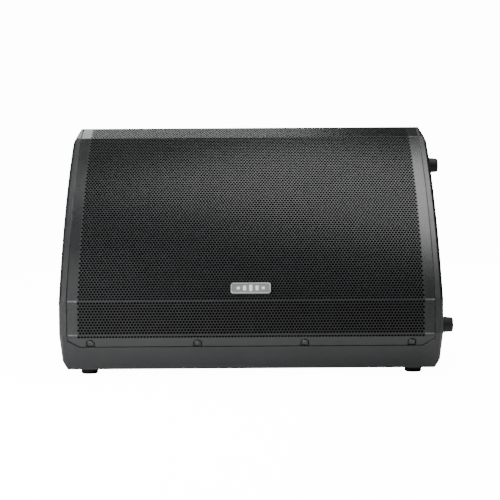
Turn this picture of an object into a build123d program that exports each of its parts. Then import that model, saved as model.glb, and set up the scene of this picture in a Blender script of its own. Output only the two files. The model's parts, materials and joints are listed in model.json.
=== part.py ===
"""Active two-way stage monitor wedge: a moulded cabinet that lies on its long side and aims a
12-inch woofer and a horn up at the performer, behind one folded steel grille. Four feet carry it
as a wedge, and four more on its right end let it stand upright or take a 35 mm pole.

Axes: X along the cabinet (right end at +X), Y from front to back, Z up.
Origin: centre of the bounding box in X and Y, on the floor.
"""

import os
from math import atan2, cos, degrees, radians, sin

from build123d import *

os.makedirs("parts", exist_ok=True)

# --------------------------------------------------------------------------------------
# Driving dimensions, in millimetres and degrees
# --------------------------------------------------------------------------------------
WIDTH = 614.0  # over the two end walls
DEPTH = 404.0  # front of the lower facet to the rear corner
BASE = 11.5  # the floor to the underside, the height of the floor feet
END_FOOT = 20.0  # how far the right-hand feet stand out

KICK_DEPTH, KICK_HEIGHT = 34.0, 59.5  # undercut panel under the grille
FACET_HEIGHT = 54.7  # upright facet of the grille
FACE_RADIUS = 754.0  # the main face is one gentle arc
LEAN_LOW, LEAN_HIGH = 29.2, 56.7  # its lean back from upright, at its two ends
TOP_LENGTH, TOP_LEAN = 46.5, 68.1  # short flange over the top
RIDGE = 16.5  # flat top behind that flange
REAR_CORNER = 60.0  # height of the rear corner
REAR_CHAMFER = 16.0  # how far the underside stops short of the rear corner
REAR_ROUNDING = 0.96  # depth lost when that corner is rounded

WALL = 5.0
EDGE_CHAMFER = 5.0  # round both end walls
END_TAPER = 3.0  # the end walls draw in this much beside the kick panel
CORNER_CUT = (6.0, 12.0)  # cut at the lower end corners, across and up
TOP_CUT = (9.5, 26.0)  # cut at the upper end corners, across and down

GRILLE_T = 1.5
GRILLE_HALF = 292.5
GRILLE_GAP = 2.0  # the dark line round the grille
GRILLE_FLANGE = 22.0  # its lower flange, on the kick panel
GRILLE_CORNER = (19.0, 13.0)  # chamfer of the flange's corners, across and along it
REBATE = 1.8
WINDOW_HALF = 283.0
FOAM_T = 5.0
SCREW_STEP = 171.5  # between the four grille screws
SCREW_DROP = 15.5  # from the fold down to a screw
DISH_HALF, DISH_DEPTH = 7.0, 2.4  # recess round each of them

BAFFLE = -32.0  # front of the baffle, measured out from the chord of the face
BAFFLE_T = 6.0
SEAM = -110.0  # where the front moulding meets the rear shell
GASKET_T = 1.5

WOOFER_X, WOOFER_T = 118.0, 0.0
HORN_X, HORN_T = -160.0, 30.0
PORT_T, PORT_STEP = -128.0, 124.0
SHELL_SCREW_X = 277.0
SHELL_SCREW_T = (-165.0, -95.0, 95.0, 160.0)

AMP_W, AMP_H = 300.0, 200.0
AMP_FROM_TOP = 225.0  # middle of the amplifier panel, down the rear face
PANEL_DEPTH, PANEL_T = 22.0, 3.0

HALF_W = WIDTH / 2
MID = -END_FOOT / 2  # the cabinet's own mid-plane in X
FRONT = -DEPTH / 2

# --------------------------------------------------------------------------------------
# Corners of the side profile, as (Y, Z)
# --------------------------------------------------------------------------------------


def lean_step(length, lean):
    """The step in (Y, Z) of that length along a surface leaning back by that angle."""
    return length * sin(radians(lean)), length * cos(radians(lean))


KICK_FOOT = (FRONT + KICK_DEPTH, BASE)
FOLD_LOW = (FRONT, BASE + KICK_HEIGHT)
FOLD_MID = (FRONT, FOLD_LOW[1] + FACET_HEIGHT)
FOLD_TOP = (
    FOLD_MID[0] + FACE_RADIUS * (cos(radians(LEAN_LOW)) - cos(radians(LEAN_HIGH))),
    FOLD_MID[1] + FACE_RADIUS * (sin(radians(LEAN_HIGH)) - sin(radians(LEAN_LOW))),
)
RIDGE_FRONT = tuple(a + b for a, b in zip(FOLD_TOP, lean_step(TOP_LENGTH, TOP_LEAN)))
HEIGHT = RIDGE_FRONT[1]
RIDGE_REAR = (RIDGE_FRONT[0] + RIDGE, HEIGHT)
REAR_HIGH = (DEPTH / 2 + REAR_ROUNDING, REAR_CORNER)
REAR_LOW = (DEPTH / 2 - REAR_CHAMFER, BASE)
ROUNDED = (  # corner and its radius
    (KICK_FOOT, 5.6),
    (RIDGE_REAR, 13.0),
    (REAR_HIGH, 20.0),
    (REAR_LOW, 12.0),
)
KICK_LEAN = degrees(atan2(-KICK_DEPTH, KICK_HEIGHT))
FACE_LEAN = (LEAN_LOW + LEAN_HIGH) / 2
REAR_LEAN = degrees(atan2(REAR_HIGH[0] - RIDGE_REAR[0], HEIGHT - REAR_CORNER))

# --------------------------------------------------------------------------------------
# Working planes. On each one, local z points out of the cabinet.
# --------------------------------------------------------------------------------------


def face_point(up, out):
    """(Y, Z) of a point on the chord frame of the main face: up along it, out of it."""
    mid_y = (FOLD_MID[0] + FOLD_TOP[0]) / 2
    mid_z = (FOLD_MID[1] + FOLD_TOP[1]) / 2
    lean = radians(FACE_LEAN)
    return (
        mid_y + up * sin(lean) - out * cos(lean),
        mid_z + up * cos(lean) + out * sin(lean),
    )


FACE_OUT = (0, -cos(radians(FACE_LEAN)), sin(radians(FACE_LEAN)))
FACE_UP = (0, sin(radians(FACE_LEAN)), cos(radians(FACE_LEAN)))


def face_plane(x, up, out):
    return Plane(origin=(MID + x, *face_point(up, out)), x_dir=(1, 0, 0), z_dir=FACE_OUT)


WOOFER = face_plane(WOOFER_X, WOOFER_T, BAFFLE)
HORN = face_plane(HORN_X, HORN_T, BAFFLE)
KICK = Plane(  # local y runs up the kick panel from its lower edge
    origin=(MID, *KICK_FOOT),
    x_dir=(1, 0, 0),
    z_dir=(0, -cos(radians(KICK_LEAN)), sin(radians(KICK_LEAN))),
)
KICK_LENGTH = (KICK_DEPTH**2 + KICK_HEIGHT**2) ** 0.5
_rear_y = RIDGE_REAR[0] + AMP_FROM_TOP * sin(radians(REAR_LEAN))
_rear_z = HEIGHT - AMP_FROM_TOP * cos(radians(REAR_LEAN))
REAR = Plane(  # middle of the amplifier panel, seen from behind: local x to the viewer's right
    origin=(MID, _rear_y, _rear_z),
    x_dir=(-1, 0, 0),
    z_dir=(0, cos(radians(REAR_LEAN)), sin(radians(REAR_LEAN))),
)
PANEL = REAR.offset(-PANEL_DEPTH)  # outer face of the amplifier panel
HANDLE = Plane(
    origin=(MID - HALF_W, *face_point(5, -178)), x_dir=FACE_UP, z_dir=(-1, 0, 0)
)
POLE = Plane(origin=(MID + HALF_W, *face_point(29, -166)), x_dir=FACE_UP, z_dir=(1, 0, 0))


def radial(plane):
    """The plane through a part's axis, for revolving: local x is radius, local y is along it."""
    return Plane(origin=plane.origin, x_dir=plane.x_dir, z_dir=-plane.y_dir)


def axis_of(plane):
    return Axis(plane.origin, plane.z_dir)


def on(plane, x, y, z=0.0):
    """A plane parallel to this one, with its origin moved to that local point."""
    return Plane(origin=plane.from_local_coords((x, y, z)), x_dir=plane.x_dir, z_dir=plane.z_dir)


def save(piece, name):
    piece.part.label = name
    export_step(piece.part, f"parts/{name}.step")


# --------------------------------------------------------------------------------------
# Sketches shared by several parts, drawn in (Y, Z)
# --------------------------------------------------------------------------------------


def section(inset=0.0, rounded=True):
    """The cabinet's side profile, drawn in by inset."""
    with BuildSketch() as profile:
        with BuildLine():
            arc = JernArc(
                FOLD_MID,
                (sin(radians(LEAN_LOW)), cos(radians(LEAN_LOW))),
                FACE_RADIUS,
                LEAN_LOW - LEAN_HIGH,
            )
            Polyline(
                arc @ 1, RIDGE_FRONT, RIDGE_REAR, REAR_HIGH, REAR_LOW, KICK_FOOT, FOLD_LOW, FOLD_MID
            )
        make_face()
        if inset > 0:
            offset(amount=-inset, kind=Kind.INTERSECTION, mode=Mode.REPLACE)
        if rounded:
            for corner, radius in ROUNDED:
                if radius - inset > 1:
                    nearest = profile.vertices().sort_by_distance((*corner, 0))[0]
                    fillet(nearest, radius - inset)
    return profile.sketch


def region(*points):
    with BuildSketch() as area:
        with BuildLine():
            Polyline(*points, close=True)
        make_face()
    return area.sketch


FAR = 400.0
SHELF = FRONT + 16.0  # front of the short upright shelf under the baffle
_shelf_up = (SHELF - face_point(0, BAFFLE)[0]) / sin(radians(FACE_LEAN))
LEDGE_Z = FOLD_LOW[1] + 4.0  # the window in the front wall starts here
BEFORE_BAFFLE = region(
    (SHELF, LEDGE_Z),
    face_point(_shelf_up, BAFFLE),
    face_point(FAR, BAFFLE),
    face_point(FAR, FAR),
    face_point(-FAR, FAR),
    (FRONT - FAR, LEDGE_Z),
)
BEHIND_BAFFLE = region(
    (SHELF + BAFFLE_T, -FAR),
    (SHELF + BAFFLE_T, face_point(_shelf_up, BAFFLE)[1] - 1.0),
    face_point(_shelf_up + 8.0, BAFFLE - BAFFLE_T),
    face_point(FAR, BAFFLE - BAFFLE_T),
    face_point(FAR, -2 * FAR),
    (FAR, -FAR),
)


def top_stop(back):
    """(Y, Z) on the top flange, that far short of the ridge."""
    dy, dz = lean_step(TOP_LENGTH - back, TOP_LEAN)
    return FOLD_TOP[0] + dy, FOLD_TOP[1] + dz


def front_band(flange, back):
    """Everything near the front surface from that far below the low fold to short of the ridge."""
    low = (
        FOLD_LOW[0] - flange * sin(radians(KICK_LEAN)),
        FOLD_LOW[1] - flange * cos(radians(KICK_LEAN)),
    )
    kick = (cos(radians(KICK_LEAN)), -sin(radians(KICK_LEAN)))  # into the kick panel
    top = (cos(radians(TOP_LEAN)), -sin(radians(TOP_LEAN)))  # into the top flange
    end = top_stop(back)
    reach = 12.0
    return region(
        (low[0] - reach * kick[0], low[1] - reach * kick[1]),
        (low[0] + reach * kick[0], low[1] + reach * kick[1]),
        (FOLD_LOW[0] + 14, FOLD_LOW[1]),
        (FOLD_MID[0] + 14, FOLD_MID[1] - 3),
        face_point(0, -14),
        (end[0] + reach * top[0], end[1] + reach * top[1]),
        (end[0] - reach * top[0], end[1] - reach * top[1]),
        face_point(0, 60),
        (FRONT - 20, FOLD_MID[1]),
        (FRONT - 20, FOLD_LOW[1]),
    )


def flange_corners(plane, half, flange):
    """Two areas on the kick panel that chamfer the lower corners of the grille."""
    across, along = GRILLE_CORNER
    edge = KICK_LENGTH - flange
    with BuildSketch(plane) as corners:
        for side in (-1, 1):
            with BuildLine():
                Polyline(
                    (side * (half + 5), edge - 5),
                    (side * (half - across), edge - 5),
                    (side * (half - across), edge),
                    (side * half, edge + along),
                    (side * (half + 5), edge + along),
                    close=True,
                )
            make_face()
    return corners.sketch


GRILLE_SCREWS = [((i - 1.5) * SCREW_STEP, KICK_LENGTH - SCREW_DROP) for i in range(4)]


def dish(plane, half, past, depth, mode):
    """The recesses round the grille screws, open towards the edge of the flange."""
    drop = GRILLE_FLANGE - SCREW_DROP + past
    with BuildSketch(plane) as areas:
        with Locations(*GRILLE_SCREWS):
            Circle(half)
            with Locations((0, -drop / 2)):
                Rectangle(2 * half, drop)
    extrude(areas.sketch, amount=-depth, mode=mode)


def screw(plane, spots, head_r, head_h, shank_r, length, sink=0.0):
    """Pan-head cross-recess screws on a plane: the head stands on it and the shank goes in."""
    with BuildPart() as screws:
        with BuildSketch(plane.offset(-sink)):
            with Locations(*spots):
                Circle(head_r)
        extrude(amount=head_h)
        heads = screws.edges().filter_by(GeomType.CIRCLE).group_by(axis_of(plane))[-1]
        fillet(heads, head_h * 0.45)
        with BuildSketch(plane.offset(-sink)):
            with Locations(*spots):
                Circle(shank_r)
        extrude(amount=-length)
        with BuildSketch(plane.offset(head_h - sink)):
            with Locations(*spots):
                Rectangle(head_r * 1.05, head_r * 0.26)
                Rectangle(head_r * 0.26, head_r * 1.05)
        extrude(amount=-head_h * 0.5, mode=Mode.SUBTRACT)
    return screws


def discs(plane, spots, radius):
    """Round areas on a plane."""
    with BuildSketch(plane) as areas:
        with Locations(*spots):
            Circle(radius)
    return areas.sketch


def drill(plane, spots, radius, depth):
    """Cuts round holes into the part being built, down from the plane."""
    extrude(discs(plane.offset(1), spots, radius), amount=-(depth + 1), mode=Mode.SUBTRACT)


def end_planes(side, inset):
    """The planes that draw in one end of the cabinet: its taper and the cuts at its corners."""
    taper = atan2(END_TAPER, KICK_HEIGHT)
    tapered = Plane(
        origin=(MID + side * HALF_W, 0, FOLD_LOW[1]), z_dir=(side * cos(taper), 0, -sin(taper))
    )
    across, up = CORNER_CUT
    tilt = atan2(across, up)
    foot_x = MID + side * (HALF_W - END_TAPER - EDGE_CHAMFER - across + 4)
    cut = Plane(origin=(foot_x, 0, BASE), z_dir=(side * cos(tilt), 0, -sin(tilt)))
    drop = atan2(*TOP_CUT)
    top_x = MID + side * (HALF_W - TOP_CUT[0])
    top = Plane(origin=(top_x, 0, HEIGHT), z_dir=(side * cos(drop), 0, sin(drop)))
    return tapered.offset(-inset), cut.offset(-inset), top.offset(-inset)


def trim_ends(inset=0.0):
    """Draws in both ends of the part being built."""
    for side in (-1, 1):
        for plane in end_planes(side, inset):
            split(bisect_by=plane, keep=Keep.BOTTOM)


# --------------------------------------------------------------------------------------
# Cabinet block: the outside of the two mouldings together
# --------------------------------------------------------------------------------------
with BuildPart() as cabinet_block:
    with BuildSketch(Plane.YZ.offset(MID)):
        add(section())
    extrude(amount=HALF_W, both=True)
    end_walls = cabinet_block.faces().filter_by(Axis.X)
    chamfer(end_walls.edges(), EDGE_CHAMFER)
    trim_ends()


def hollow(area=None):
    """The space inside the walls, or the share of it within an area drawn in (Y, Z)."""
    with BuildPart() as space:
        with BuildSketch(Plane.YZ.offset(MID)):
            add(section(WALL))
            if area:
                add(area, mode=Mode.INTERSECT)
        extrude(amount=HALF_W - WALL, both=True)
        trim_ends(WALL)
    return space.part


# --------------------------------------------------------------------------------------
# Positions of the feet
# --------------------------------------------------------------------------------------
FLOOR_FEET = [(MID + x, y) for x in (-266, 266) for y in (FRONT + 76, 150)]
END_FEET = [(FRONT + 44, 80.5), (FRONT + 245, 337.5), (FRONT + 358, 62), (FRONT + 311, 262)]
FLOOR = Plane(origin=(0, 0, BASE), x_dir=(1, 0, 0), z_dir=(0, 0, -1))
RIGHT_END = Plane(origin=(MID + HALF_W, 0, 0), x_dir=(0, 1, 0), z_dir=(1, 0, 0))
FLOOR_SPOTS = [(x, -y) for x, y in FLOOR_FEET]  # FLOOR's local y runs towards -Y
FOOT_SHANK = 2.4

WOOFER_CUT = 141.5
WOOFER_PCD = 296.0
WOOFER_SPOTS = [
    (WOOFER_PCD / 2 * cos(radians(a)), WOOFER_PCD / 2 * sin(radians(a)))
    for a in [22.5 + 45 * i for i in range(8)]
]
HORN_MOUTH = (184.0, 160.0)
HORN_FLANGE = (220.0, 196.0)
HORN_SPOTS = [(x, y) for x in (-102, 0, 102) for y in (-90, 90)]
PORT_SPOTS = [(-PORT_STEP / 2, 0), (PORT_STEP / 2, 0)]
PORT = face_plane(HORN_X, PORT_T, BAFFLE)
SHELL_PLANE = face_plane(0, 0, BAFFLE)
SHELL_SPOTS = [(x, t) for x in (-SHELL_SCREW_X, SHELL_SCREW_X) for t in SHELL_SCREW_T]

# --------------------------------------------------------------------------------------
# Front moulding: rim, ledge, kick panel and baffle in one piece
# --------------------------------------------------------------------------------------
with BuildPart() as front_moulding:
    add(cabinet_block.part)
    split(bisect_by=face_plane(0, 0, SEAM), keep=Keep.TOP)
    add(hollow(BEHIND_BAFFLE), mode=Mode.SUBTRACT)
    add(hollow(BEFORE_BAFFLE), mode=Mode.SUBTRACT)
    with BuildSketch(Plane.YZ.offset(MID)):  # window under the grille
        add(front_band(-4.0, 18.0))
        add(BEFORE_BAFFLE, mode=Mode.INTERSECT)
    extrude(amount=WINDOW_HALF, both=True, mode=Mode.SUBTRACT)
    with BuildSketch(Plane.YZ.offset(MID)):  # rebate that the grille lies in
        add(section(0, rounded=False))
        add(section(REBATE, rounded=False), mode=Mode.SUBTRACT)
        add(front_band(GRILLE_FLANGE + GRILLE_GAP, 0.0), mode=Mode.INTERSECT)
    rebate = extrude(amount=GRILLE_HALF + GRILLE_GAP, both=True, mode=Mode.PRIVATE)
    corners = flange_corners(KICK.offset(3), GRILLE_HALF + GRILLE_GAP, GRILLE_FLANGE + GRILLE_GAP)
    add(rebate - extrude(corners, amount=-8, mode=Mode.PRIVATE), mode=Mode.SUBTRACT)
    extrude(discs(KICK.offset(-4), GRILLE_SCREWS, 10), amount=-9)
    dish(KICK.offset(1), DISH_HALF + 1.5, GRILLE_GAP, REBATE + DISH_DEPTH + 1, Mode.SUBTRACT)
    drill(KICK, GRILLE_SCREWS, 1.9, 18)
    extrude(discs(RIGHT_END.offset(-WALL - 12), END_FEET[:2], 7), amount=13)
    drill(RIGHT_END, END_FEET[:2], FOOT_SHANK + 0.1, 18)
    drill(WOOFER, [(0, 0)], WOOFER_CUT, 12)
    drill(WOOFER, WOOFER_SPOTS, 2.0, 12)
    with BuildSketch(HORN.offset(1)):
        RectangleRounded(HORN_MOUTH[0] + 6, HORN_MOUTH[1] + 6, 22)
    extrude(amount=-12, mode=Mode.SUBTRACT)
    drill(HORN, HORN_SPOTS, 2.0, 12)
    drill(PORT, PORT_SPOTS, 30.4, 12)
    drill(SHELL_PLANE, SHELL_SPOTS, 2.5, 12)
save(front_moulding, "front_moulding")

# --------------------------------------------------------------------------------------
# Rear shell, the frame round the amplifier and the posts inside
# --------------------------------------------------------------------------------------
HANDLE_SIZE = (160.0, 84.0)
HANDLE_BOWL = (136.0, 62.0)
HANDLE_SPOTS = [(x, y) for x in (-73, 73) for y in (-35, 35)]
POLE_FLANGE = 76.0
POLE_SPOTS = [(x, y) for x in (-30, 30) for y in (-30, 30)]
FLUSH = 3.0  # depth of the rebates for the handle and the pole cup
WELL_WALL = 4.0
LEDGE = 10.0
FRAME_DEPTH = PANEL_DEPTH + PANEL_T + WELL_WALL
FRAME_W = AMP_W + 2 * WELL_WALL
FRAME_FOOT, FRAME_HEAD = 128.0, 122.0  # the frame's plate, down and up from the middle of the panel
PANEL_SPOTS = [(x, y) for x in (-144, -72, 0, 72, 144) for y in (-94, 94)]

with BuildPart() as rear_shell:
    add(cabinet_block.part)
    split(bisect_by=face_plane(0, 0, SEAM - GASKET_T), keep=Keep.BOTTOM)
    add(hollow(BEHIND_BAFFLE), mode=Mode.SUBTRACT)
    with BuildSketch(REAR.offset(-FRAME_DEPTH)):
        Rectangle(FRAME_W, AMP_H + 2 * WELL_WALL)
    extrude(amount=FRAME_DEPTH + 5, mode=Mode.SUBTRACT)
    with BuildSketch(REAR.offset(-WALL - 1)):
        with Locations((0, (FRAME_HEAD - FRAME_FOOT) / 2)):
            Rectangle(FRAME_W, FRAME_HEAD + FRAME_FOOT)
    extrude(amount=WALL + 5, mode=Mode.SUBTRACT)
    extrude(discs(FLOOR.offset(-WALL - 12), FLOOR_SPOTS, 7), amount=13)
    extrude(discs(RIGHT_END.offset(-WALL - 12), END_FEET[2:], 7), amount=13)
    with BuildSketch(HANDLE):
        RectangleRounded(HANDLE_SIZE[0] + 0.6, HANDLE_SIZE[1] + 0.6, 12.3)
    extrude(amount=-FLUSH, mode=Mode.SUBTRACT)
    with BuildSketch(HANDLE):
        RectangleRounded(HANDLE_BOWL[0] + 7, HANDLE_BOWL[1] + 7, 9)
    extrude(amount=-10, mode=Mode.SUBTRACT)
    with BuildSketch(POLE):
        RectangleRounded(POLE_FLANGE + 0.6, POLE_FLANGE + 0.6, 8.3)
    extrude(amount=-FLUSH, mode=Mode.SUBTRACT)
    drill(POLE, [(0, 0)], 22.5, 10)
    drill(HANDLE, HANDLE_SPOTS, 1.9, 10)
    drill(POLE, POLE_SPOTS, 1.9, 10)
    drill(FLOOR, FLOOR_SPOTS, FOOT_SHANK + 0.1, 15)
    drill(RIGHT_END, END_FEET[2:], FOOT_SHANK + 0.1, 15)
save(rear_shell, "rear_shell")

# The well's walls, the ledge that the panel is screwed to, and the plate that fills the rear wall
with BuildPart() as amp_frame:
    with BuildSketch(REAR.offset(-FRAME_DEPTH)):
        Rectangle(FRAME_W, AMP_H + 2 * WELL_WALL)
    extrude(amount=FRAME_DEPTH)
    with BuildSketch(REAR.offset(-WALL)):
        with Locations((0, (FRAME_HEAD - FRAME_FOOT) / 2)):
            Rectangle(FRAME_W, FRAME_HEAD + FRAME_FOOT)
    extrude(amount=WALL)
    with BuildSketch(PANEL.offset(-PANEL_T)):
        RectangleRounded(AMP_W + 0.6, AMP_H + 0.6, 6.3)
    extrude(amount=PANEL_DEPTH + PANEL_T + 5, mode=Mode.SUBTRACT)
    with BuildSketch(REAR.offset(-FRAME_DEPTH - 5)):
        Rectangle(AMP_W - 2 * LEDGE, AMP_H - 2 * LEDGE)
    extrude(amount=FRAME_DEPTH, mode=Mode.SUBTRACT)
    drill(PANEL, PANEL_SPOTS, 1.7, 12)
save(amp_frame, "amp_frame")

with BuildPart() as shell_posts:  # the front moulding is screwed to these
    for x, t in SHELL_SPOTS:
        side = 1 if x > 0 else -1
        deep = 97.0 if t > 150 else 107.0
        with BuildSketch(face_plane(x, t, BAFFLE - BAFFLE_T)):
            Circle(7)
            with Locations((side * 12, 0)):
                Rectangle(24, 6)
        extrude(amount=-deep)
        with BuildSketch(face_plane(x, t, SEAM - GASKET_T)):
            with Locations((side * 14, 0)):
                Rectangle(26, 6)
        extrude(amount=-(deep - BAFFLE_T - GASKET_T - 66))
    add(hollow(BEHIND_BAFFLE), mode=Mode.INTERSECT)
    drill(SHELL_PLANE, SHELL_SPOTS, 2.1, 30)
save(shell_posts, "shell_posts")

# --------------------------------------------------------------------------------------
# Gasket between the mouldings, flush with the outside
# --------------------------------------------------------------------------------------
with BuildPart() as enclosure_gasket:
    add(cabinet_block.part)
    split(bisect_by=face_plane(0, 0, SEAM), keep=Keep.BOTTOM)
    split(bisect_by=face_plane(0, 0, SEAM - GASKET_T), keep=Keep.TOP)
    add(hollow(), mode=Mode.SUBTRACT)
save(enclosure_gasket, "enclosure_gasket")

# --------------------------------------------------------------------------------------
# Grille: one folded sheet, dished round its four screws, with foam behind it
# --------------------------------------------------------------------------------------
with BuildPart() as grille:
    with BuildSketch(Plane.YZ.offset(MID)):
        add(section(0, rounded=False))
        add(section(GRILLE_T, rounded=False), mode=Mode.SUBTRACT)
        add(front_band(GRILLE_FLANGE, GRILLE_GAP), mode=Mode.INTERSECT)
    extrude(amount=GRILLE_HALF, both=True)
    corners = flange_corners(KICK.offset(3), GRILLE_HALF, GRILLE_FLANGE)
    extrude(corners, amount=-8, mode=Mode.SUBTRACT)
    dish(KICK, DISH_HALF + 1.2, 0, DISH_DEPTH + GRILLE_T, Mode.ADD)
    dish(KICK.offset(1), DISH_HALF, 1, DISH_DEPTH + 1, Mode.SUBTRACT)
    drill(KICK, GRILLE_SCREWS, 2.2, 8)
save(grille, "grille")

with BuildPart() as grille_foam:
    with BuildSketch(Plane.YZ.offset(MID)):
        add(section(GRILLE_T, rounded=False))
        add(section(GRILLE_T + FOAM_T, rounded=False), mode=Mode.SUBTRACT)
        add(front_band(-5.0, 19.0), mode=Mode.INTERSECT)
    extrude(amount=WINDOW_HALF - 1, both=True)
save(grille_foam, "grille_foam")

grille_screws = screw(KICK.offset(-DISH_DEPTH), GRILLE_SCREWS, 4.2, 2.6, 1.8, 13)
save(grille_screws, "grille_screws")

BADGE_W, BADGE_H, BADGE_T = 64.0, 19.0, 2.4
BADGE_UP = 21.0  # its middle, along the face from the fold
_badge_lean = LEAN_LOW + degrees(BADGE_UP / FACE_RADIUS)
BADGE = Plane(
    origin=(
        MID,
        FOLD_MID[0] + FACE_RADIUS * (cos(radians(LEAN_LOW)) - cos(radians(_badge_lean))),
        FOLD_MID[1] + FACE_RADIUS * (sin(radians(_badge_lean)) - sin(radians(LEAN_LOW))),
    ),
    x_dir=(1, 0, 0),
    z_dir=(0, -cos(radians(_badge_lean)), sin(radians(_badge_lean))),
)
with BuildPart() as badge:
    with BuildSketch(BADGE):
        RectangleRounded(BADGE_W, BADGE_H, 3.0)
    extrude(amount=BADGE_T)
    with BuildSketch(BADGE.offset(BADGE_T)):
        RectangleRounded(BADGE_W - 3.6, BADGE_H - 3.6, 1.6)
    extrude(amount=-0.8, mode=Mode.SUBTRACT)
    with BuildSketch(BADGE.offset(BADGE_T - 0.8)):  # five plain bars, as on a level meter
        for x, height in ((-18, 5), (-9, 9), (0, 12), (9, 9), (18, 5)):
            with Locations((x, 0)):
                RectangleRounded(4, height, 1)
    extrude(amount=0.6)
save(badge, "badge")

# --------------------------------------------------------------------------------------
# Rubber feet and their screws
# --------------------------------------------------------------------------------------
FLOOR_FOOT_R, END_FOOT_R = 14.5, 13.5


def feet(plane, spots, radius, height):
    with BuildPart() as group:
        extrude(discs(plane, spots, radius), amount=height, taper=5)
        fillet(group.edges().filter_by(GeomType.CIRCLE).group_by(axis_of(plane))[-1], 2.5)
        drill(plane.offset(height), spots, 5.2, height - 5)
        drill(plane.offset(height), spots, 2.6, height + 1)
    return group


floor_feet = feet(FLOOR, FLOOR_SPOTS, FLOOR_FOOT_R, BASE)
save(floor_feet, "floor_feet")
end_feet = feet(RIGHT_END, END_FEET, END_FOOT_R, END_FOOT)
save(end_feet, "end_feet")
with BuildPart() as foot_screws:
    add(screw(FLOOR.offset(5), FLOOR_SPOTS, 4.2, 2.4, FOOT_SHANK, 18).part)
    add(screw(RIGHT_END.offset(5), END_FEET, 4.2, 2.4, FOOT_SHANK, 18).part)
save(foot_screws, "foot_screws")
shell_screws = screw(SHELL_PLANE, SHELL_SPOTS, 4.5, 2.5, 2.0, 26)
save(shell_screws, "shell_screws")

# --------------------------------------------------------------------------------------
# Woofer, from its flange on the baffle back to the vented pole
# --------------------------------------------------------------------------------------
WOOFER_R = 155.5
FLANGE_LOW, FLANGE_TOP = 1.2, 4.2
CONE_R = 118.0
COIL_R = 32.0
PLATE_TOP, PLATE_LOW, MAGNET_LOW, BACK_LOW = -86.0, -94.0, -114.0, -122.0
WOOFER_SIDE = radial(WOOFER)
ABOUT_WOOFER = axis_of(WOOFER)
GAP = ((84, -19), (146, -21), (158, 0), (146, 21), (84, 19))  # between two spokes, polar


def ring(plane, inner, outer, low, high):
    """A plain ring about a plane's axis, between two heights on it."""
    with BuildPart() as band:
        with BuildSketch(plane.offset(low)):
            Circle(outer)
            if inner:
                Circle(inner, mode=Mode.SUBTRACT)
        extrude(amount=high - low)
    return band


def turned(plane, *points):
    """A closed outline of (radius, height) turned about a plane's axis."""
    with BuildPart() as body:
        with BuildSketch(radial(plane)):
            with BuildLine():
                Polyline(*points, close=True)
            make_face()
        revolve(axis=axis_of(plane))
    return body


def dome(plane, top, height, edge, thickness):
    """A spherical cap about a plane's axis; a negative height bulges towards the plane."""
    way = 1 if height > 0 else -1
    radius = (edge**2 + height**2) / (2 * abs(height))
    turn = degrees(atan2(edge, radius - abs(height)))
    with BuildPart() as cap:
        with BuildSketch(radial(plane)):
            with BuildLine():
                outer = JernArc((0, top), (1, 0), radius, -way * turn)
                inner = JernArc((0, top - way * thickness), (1, 0), radius - thickness, -way * turn)
                Line(outer @ 0, inner @ 0)
                Line(outer @ 1, inner @ 1)
            make_face()
        revolve(axis=axis_of(plane))
    return cap.part


with BuildPart() as woofer_basket:
    add(
        turned(
            WOOFER,
            (129.0, FLANGE_LOW),
            (138.0, FLANGE_LOW),
            (136.0, -36.0),
            (72.0, -76.0),
            (72.0, PLATE_TOP),
            (36.0, PLATE_TOP),
            (36.0, -82.0),
            (64.0, -82.0),
            (64.0, -70.0),
            (68.5, -70.0),
            (68.5, -73.0),
            (132.5, -33.5),
            (134.5, -2.0),
            (129.0, -2.0),
        ).part
    )
    add(ring(WOOFER, 129.0, WOOFER_R, FLANGE_LOW, FLANGE_TOP).part)
    with BuildSketch(WOOFER.offset(-70)):
        with PolarLocations(0, 6):
            with BuildLine():
                Polyline(*[(r * cos(radians(a)), r * sin(radians(a))) for r, a in GAP], close=True)
            make_face()
    extrude(amount=62, mode=Mode.SUBTRACT)
    drill(WOOFER.offset(FLANGE_TOP), WOOFER_SPOTS, 2.3, 6)
save(woofer_basket, "woofer_basket")

woofer_gasket = ring(WOOFER, 131.4, 142.0, FLANGE_TOP + 1.0, FLANGE_TOP + 4.5)
save(woofer_gasket, "woofer_gasket")

with BuildPart() as woofer_surround:
    with BuildSketch(WOOFER_SIDE):
        with Locations((124.8, FLANGE_TOP)):
            Circle(6.0)
            Circle(5.0, mode=Mode.SUBTRACT)
            with Locations((0, -5)):
                Rectangle(14, 10, mode=Mode.SUBTRACT)
        with Locations((135.5, FLANGE_TOP + 0.5)):
            Rectangle(10.8, 1.0)
    revolve(axis=ABOUT_WOOFER)
save(woofer_surround, "woofer_surround")

woofer_cone = turned(
    WOOFER,
    (CONE_R, 5.0),
    (CONE_R - 1.2, 5.0),
    (CONE_R - 1.6, 0.2),
    (COIL_R + 0.6, -50.0),
    (COIL_R + 0.6, -54.0),
    (COIL_R + 2.0, -54.0),
    (COIL_R + 2.4, -51.0),
    (CONE_R, -1.2),
)
save(woofer_cone, "woofer_cone")

with BuildPart() as woofer_dust_cap:
    add(dome(WOOFER, -31.0, 10.6, 46.0, 1.0))
save(woofer_dust_cap, "woofer_dust_cap")

woofer_voice_coil = turned(
    WOOFER,
    (COIL_R, -51.0),
    (COIL_R + 0.5, -51.0),
    (COIL_R + 0.5, -80.0),
    (COIL_R + 1.2, -80.0),
    (COIL_R + 1.2, -99.0),
    (COIL_R, -99.0),
)
save(woofer_voice_coil, "woofer_voice_coil")

with BuildPart() as woofer_spider:
    folds = [(COIL_R + 1.0 + i * 27.0 / 12, -68.0 + (1.2 if i % 2 else -1.2)) for i in range(13)]
    with BuildSketch(WOOFER_SIDE):
        with BuildLine():
            Polyline(*folds, *[(r, z + 0.9) for r, z in reversed(folds)], close=True)
        make_face()
    revolve(axis=ABOUT_WOOFER)
    add(ring(WOOFER, 59.8, 68.2, -70.0, -68.3).part)
save(woofer_spider, "woofer_spider")

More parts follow.
